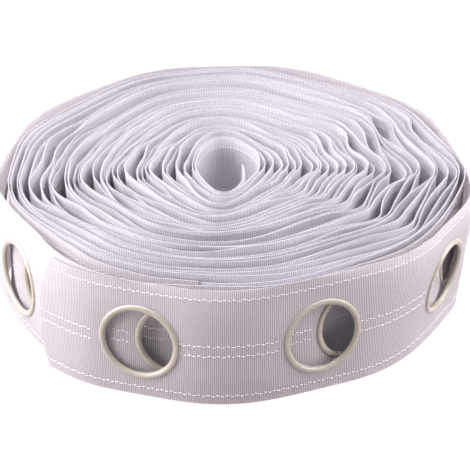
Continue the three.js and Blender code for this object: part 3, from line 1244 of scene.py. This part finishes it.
@dataclass
class Eyelets:
    """The moulded eyelets, made by one tree on a point for each of them.

    Each is a rounded bead and a sleeve inside it. sleeve_wall and sleeve_inset are in metres,
    sleeve_reach is the sleeve's depth as a share of the rim, and the roundness of the bead and the
    sleeve are shares of the roundest that their sections can be, cut in corner_cuts steps.
    """

    size: EyeletSize
    finish: bpy.types.Material
    segments: int = 72
    bead_roundness: float = 0.94
    sleeve_roundness: float = 0.5
    sleeve_wall: float = 0.0014
    sleeve_inset: float = 0.0003
    sleeve_reach: float = 1.3
    corner_cuts: int = 6

    def build(
        self, name: str, seats: list[tuple[np.ndarray, float, float, float]]
    ) -> bpy.types.Object:
        """Builds the eyelets of one group as one mesh.

        Args:
            name: The new object's name.
            seats: For each eyelet its place in plan, its facing, its lift and its tilt.

        Returns:
            The new object.
        """
        height = self.size.height
        points = [(x * MM, y * MM, (lift + height) * MM) for (x, y), _, lift, _ in seats]
        facings = []
        for _, degrees, _, tilt in seats:
            level = facing_vector(degrees) * math.cos(math.radians(tilt))
            facings.append((*level, -math.sin(math.radians(tilt))))
        seed_object = seed_points(name, points, facings, [])
        values = {
            "Bore radius": self.size.bore_radius * MM,
            "Outer radius": self.size.outer_radius * MM,
            "Rim": self.size.rim * MM,
            "Seat": self.size.seat * MM,
            "Segments": self.segments,
            "Plastic": self.finish,
        }
        return baked(name, seed_object, self._tree(name), values)

    def _tree(self, name: str) -> NodeTree:
        """Sweeps a rounded bead and a sleeve round, and sets them on each point along its facing.

        Args:
            name: The name of the pieces to come.

        Returns:
            The tree.
        """
        tree, given = geometry_group(name + "_make", {
            "Bore radius": ("NodeSocketFloat", 0.028),
            "Outer radius": ("NodeSocketFloat", 0.032),
            "Rim": ("NodeSocketFloat", 0.002),
            "Seat": ("NodeSocketFloat", 0.001),
            "Segments": ("NodeSocketInt", 64),
            "Plastic": ("NodeSocketMaterial", None),
        })
        outer, bore = given["Outer radius"], given["Bore radius"]
        band = tree.math("SUBTRACT", outer, bore)
        middle = tree.math("MULTIPLY", tree.math("ADD", outer, bore), 0.5)
        depth = tree.math("MULTIPLY", tree.math("ADD", given["Seat"], given["Rim"]), 2.0)
        inner = tree.math("ADD", bore, self.sleeve_inset)
        sleeve = tree.math("MULTIPLY", given["Rim"], self.sleeve_reach)
        parts = [
            self._hoop(tree, given, middle, band, depth, self.bead_roundness),
            self._hoop(tree, given, inner, self.sleeve_wall, sleeve, self.sleeve_roundness),
        ]
        ring = tree.add("GeometryNodeJoinGeometry")
        for part in parts:
            tree.tree.links.new(part, ring.inputs[0])
        turn = tree.add(
            "FunctionNodeAlignRotationToVector", {"Vector": facing_of_points(tree)}, axis="Z"
        )
        return set_on_points(tree, given, ring.outputs[0], turn.outputs[0], "Plastic")

    def _hoop(
        self, tree: NodeTree, given: dict, radius: object, band: object, depth: object,
        roundness: float
    ) -> bpy.types.NodeSocket:
        """Sweeps one rounded band round the eyelet's axis.

        Args:
            tree: The tree.
            given: Its input sockets by name.
            radius: The radius of the band's middle.
            band: The band's width, across the axis.
            depth: Its depth, along the axis.
            roundness: How round its section is, up to 1.

        Returns:
            The socket of the band's mesh.
        """
        circle = tree.add(
            "GeometryNodeCurvePrimitiveCircle", {"Radius": radius, "Resolution": given["Segments"]}
        )
        section = tree.add("GeometryNodeCurvePrimitiveQuadrilateral", {0: band, 1: depth})
        smaller = tree.math("MINIMUM", band, depth)
        corner = tree.math("MULTIPLY", smaller, roundness * 0.5)
        fillet = tree.add(
            "GeometryNodeFilletCurve",
            {"Curve": section.outputs[0], "Count": self.corner_cuts, "Radius": corner},
            mode="POLY",
        )
        swept = tree.add("GeometryNodeCurveToMesh", {
            "Curve": circle.outputs[0],
            "Profile Curve": fillet.outputs[0],
        })
        return swept.outputs[0]


@dataclass
class Stitches:
    """Rows of thread along the outer turns, made by one tree on points that follow the tape.

    length, width and stand are a stitch's size, zigzag how far it lies beside the row's middle and
    sunk how much of its stand lies off the cloth, from the stitch's own middle.
    """

    path: TapePath
    finish: bpy.types.Material
    length: float = 3.4
    width: float = 0.95
    stand: float = 0.4
    zigzag: float = 0.4
    sunk: float = 0.4
    eyelet_margin: float = 1.2

    def build(self, name: str, cloth: OuterTurns) -> bpy.types.Object:
        """Builds the rows on the outer face of both turns as one mesh.

        Args:
            name: The new object's name.
            cloth: The turns that carry the rows.

        Returns:
            The new object.
        """
        stand_off = cloth.thickness / 2 + self.stand * self.sunk
        points, facings, edges = [], [], []
        for start, end, row in self._runs(cloth):
            count = int((end - start) / WEAVE.stitch_pitch)
            along = start + np.arange(count) * WEAVE.stitch_pitch
            zigzag = np.where(np.arange(count) % 2 == 0, self.zigzag, -self.zigzag)
            across = np.full(count, row) + zigzag
            spots = self.path.surface(along, across)
            ahead = self.path.surface(along + 1.0, across) - spots
            up = np.array([0.0, 0.0, 1.0])
            outward = np.cross(ahead, up)
            outward /= np.linalg.norm(outward, axis=1, keepdims=True)
            first = len(points)
            points += list((spots + outward * stand_off) * MM)
            facings += list(outward)
            edges += [(first + k, first + k + 1) for k in range(count - 1)]
        seed_object = seed_points(name, points, facings, edges)
        values = {
            "Length": self.length * MM,
            "Width": self.width * MM,
            "Stand": self.stand * MM,
            "Thread": self.finish,
        }
        return baked(name, seed_object, self._tree(name), values)

    def _runs(self, cloth: OuterTurns) -> list[tuple[float, float, float]]:
        """Finds the stretches of tape that carry a row, clear of the eyelets.

        Args:
            cloth: The turns that carry the rows.

        Returns:
            The start, the end and the height of each stretch.
        """
        runs = []
        total = float(self.path.lengths[-1])
        reach = SIZE.outer_radius + self.eyelet_margin
        for row in WEAVE.stitch_rows:
            off = abs(row - SIZE.height)
            clear = math.sqrt(max(reach**2 - off**2, 0.0)) if off < reach else 0.0
            start = 2.0 + float(cloth.end_cut(np.array(row)))
            for centre in self.path.eyelet_lengths:
                if clear:
                    runs.append((start, centre - clear, row))
                    start = centre + clear
            runs.append((start, total - 3.0, row))
        return runs

    def _tree(self, name: str) -> NodeTree:
        """Sets a small bead of thread on each point, laid along the row and proud of the cloth.

        Args:
            name: The name of the pieces to come.

        Returns:
            The tree.
        """
        tree, given = geometry_group(name + "_make", {
            "Length": ("NodeSocketFloat", 0.0027),
            "Width": ("NodeSocketFloat", 0.0008),
            "Stand": ("NodeSocketFloat", 0.0004),
            "Thread": ("NodeSocketMaterial", None),
        })
        bead = tree.add("GeometryNodeMeshUVSphere", {"Segments": 6, "Rings": 4, "Radius": 0.5})
        size = tree.add("ShaderNodeCombineXYZ", {
            0: given["Length"],
            1: given["Width"],
            2: given["Stand"],
        })
        sized = tree.add(
            "GeometryNodeTransform", {"Geometry": bead.outputs[0], "Scale": size.outputs[0]}
        )
        facing = facing_of_points(tree)
        out = tree.add("FunctionNodeAlignRotationToVector", {"Vector": facing}, axis="Z")
        run = tree.add(
            "ShaderNodeVectorMath", {0: (0.0, 0.0, 1.0), 1: facing}, operation="CROSS_PRODUCT"
        )
        turn = tree.add(
            "FunctionNodeAlignRotationToVector",
            {"Rotation": out.outputs[0], "Vector": run.outputs[0]},
            axis="X",
            pivot_axis="Z",
        )
        return set_on_points(tree, given, sized.outputs[0], turn.outputs[0], "Thread")


@dataclass(frozen=True)
class Lamp:
    """A soft rectangular light: where it stands, where it points, its size and its power."""

    name: str
    place: tuple[float, float, float]
    aim: tuple[float, float, float]
    size: tuple[float, float]
    power: float
    colour: tuple[float, float, float]

    def build(self) -> None:
        """Adds the light to the scene, turned towards its aim."""
        light = bpy.data.lights.new(self.name, "AREA")
        light.shape = "RECTANGLE"
        light.size, light.size_y = self.size
        light.energy = self.power
        light.color = self.colour
        lamp = bpy.data.objects.new(self.name, light)
        lamp.location = self.place
        direction = Vector(self.aim) - Vector(self.place)
        lamp.rotation_euler = direction.to_track_quat("-Z", "Y").to_euler()
        bpy.context.scene.collection.objects.link(lamp)


ROLL_FRONT = (0.0, -0.05, 0.05)


@dataclass
class Studio:
    """The glowing table, a dimmer plate under it as painted shadow, the soft lights and the camera.

    footprint is the outline of a dim glowing plate under the roll, in millimetres: a painted shadow
    for the table in the roll's shade, which also lights the gaps from below. focal_pixels is the
    lens's focal length in pixels of the picture, elevation in degrees, and distance and aim are in
    metres.
    """

    footprint: np.ndarray
    focal_pixels: float = 1900.0
    picture_pixels: float = 470.0
    sensor: float = 36.0
    elevation: float = 29.0
    distance: float = 1.5723
    aim: tuple[float, float, float] = (-0.0006, -0.0196, 0.0462)
    lamps: tuple[Lamp, ...] = (
        Lamp("overhead", (0.0, 0.5, 1.25), (0.0, 0.5, 0.0), (3.0, 2.4), 168.0, (0.95, 0.925, 0.99)),
        Lamp("left_key", (-1.13, -0.33, 0.45), ROLL_FRONT, (0.9, 0.9), 30.0, (1.0, 0.98, 1.0)),
        Lamp("right_fill", (1.18, -0.24, 0.45), ROLL_FRONT, (0.9, 0.9), 16.0, (1.0, 0.96, 0.98)),
    )

    def build(self) -> None:
        """Sets up the whole studio."""
        self._floor()
        for lamp in self.lamps:
            lamp.build()
        self._world()
        self._camera()
        scene = bpy.context.scene
        scene.view_settings.view_transform = "Standard"
        scene.view_settings.look = "None"
        scene.view_settings.exposure = 0.0

    def _floor(self) -> None:
        """A wide white table that glows evenly, so that no shadow shows on it, and a dimmer glowing
        plate under the roll as painted shadow.
        """
        reach = 6.0
        corners = [(-reach, -reach), (reach, -reach), (reach, reach), (-reach, reach)]
        self._plate("table", corners, -0.0004, 0.04, (1.1, 0.98, 1.04))
        footprint = [tuple(spot * MM) for spot in self.footprint]
        # Painted shadow: a dimmer plate under the roll stands for the table in its shade, and its
        # glow lights the gaps between the turns from below.
        self._plate("under_roll_painted_shadow", footprint, -0.0002, 0.6, (0.5, 0.47, 0.52))

    def _plate(
        self, name: str, corners: list, height: float, grey: float, glow: tuple | None
    ) -> None:
        """Adds a flat stage plate.

        Args:
            name: The plate's name.
            corners: Its outline in plan, in metres.
            height: Its height.
            grey: How much light it scatters.
            glow: The light that it gives off, or None.
        """
        mesh = bpy.data.meshes.new(name)
        mesh.from_pydata([(x, y, height) for x, y in corners], [], [tuple(range(len(corners)))])
        plate = bpy.data.objects.new(name, mesh)
        bpy.context.scene.collection.objects.link(plate)
        paper = bpy.data.materials.new(name + "_paper")
        paper.use_nodes = True
        skin = paper.node_tree.nodes["Principled BSDF"]
        skin.inputs["Base Color"].default_value = (grey, grey, grey, 1.0)
        skin.inputs["Roughness"].default_value = 1.0
        skin.inputs["Specular IOR Level"].default_value = 0.0
        if glow:
            skin.inputs["Emission Color"].default_value = (*glow, 1.0)
            skin.inputs["Emission Strength"].default_value = 1.0
        mesh.materials.append(paper)

    def _world(self) -> None:
        """An even pale surround."""
        world = bpy.data.worlds.new("surround")
        world.use_nodes = True
        background = world.node_tree.nodes["Background"]
        background.inputs["Color"].default_value = (0.95, 0.96, 1.0, 1.0)
        background.inputs["Strength"].default_value = 0.04
        bpy.context.scene.world = world

    def _camera(self) -> None:
        """A long lens, level from side to side, looking down at the roll from the front."""
        lens = bpy.data.cameras.new("camera")
        lens.sensor_width = self.sensor
        lens.lens = self.focal_pixels / self.picture_pixels * self.sensor
        lens.clip_end = 50.0
        camera = bpy.data.objects.new("camera", lens)
        tilt = math.radians(self.elevation)
        back = Vector((0.0, -math.cos(tilt), math.sin(tilt))) * self.distance
        camera.location = Vector(self.aim) + back
        camera.rotation_euler = (math.radians(90.0) - tilt, 0.0, 0.0)
        bpy.context.scene.collection.objects.link(camera)
        bpy.context.scene.camera = camera


def settle(piece: bpy.types.Object, slot: str, *nodes: str) -> None:
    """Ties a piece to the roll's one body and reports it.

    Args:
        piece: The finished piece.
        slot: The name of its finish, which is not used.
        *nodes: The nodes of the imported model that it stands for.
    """
    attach(piece, "root")
    if nodes:
        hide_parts(*nodes)
    LOG.info("%s: %d faces", piece.name, len(piece.data.polygons))


def main() -> None:
    """Builds every piece of the roll, then the studio around it."""
    logging.basicConfig(level=logging.INFO, format="%(name)s: %(message)s")
    path = TapePath(STATIONS)
    # Painted shade: the outer turns get a darker, pinker copy of the same tape's colour, standing
    # for the pink-grey shade on the roll's front.
    cloth = ClothFinish("tape_cloth_painted_shade", stitched=False, base=(0.885, 0.84, 0.868)).material()
    wound_cloth = ClothFinish("wound_cloth", stitched=True).material()
    plastic = PlasticFinish().material()
    thread = ThreadFinish().material()

    outer = OuterTurns(path)
    turns = outer.build()
    turns.data.materials.append(cloth)
    settle(turns, "tape", "outer_turn", "second_turn")

    wound = WoundTurns(path).build()
    wound.data.materials.append(wound_cloth)
    settle(wound, "tape", "wound_roll")

    maker = Eyelets(SIZE, plastic)
    count = len(path.first_eyelets)
    first = maker.build("outer_eyelets", path.eyelets[:count])
    settle(first, "eyelet", *(f"eyelet_{k + 1}" for k in range(count)))
    second = maker.build("second_eyelets", path.eyelets[count:])
    settle(second, "eyelet", *(f"second_eyelet_{k + 1}" for k in range(count)))

    stitches = Stitches(path, thread).build("stitch_rows", outer)
    settle(stitches, "tape")

    Studio(path.footprint(9.0)).build()


if __name__ == "__main__":
    main()
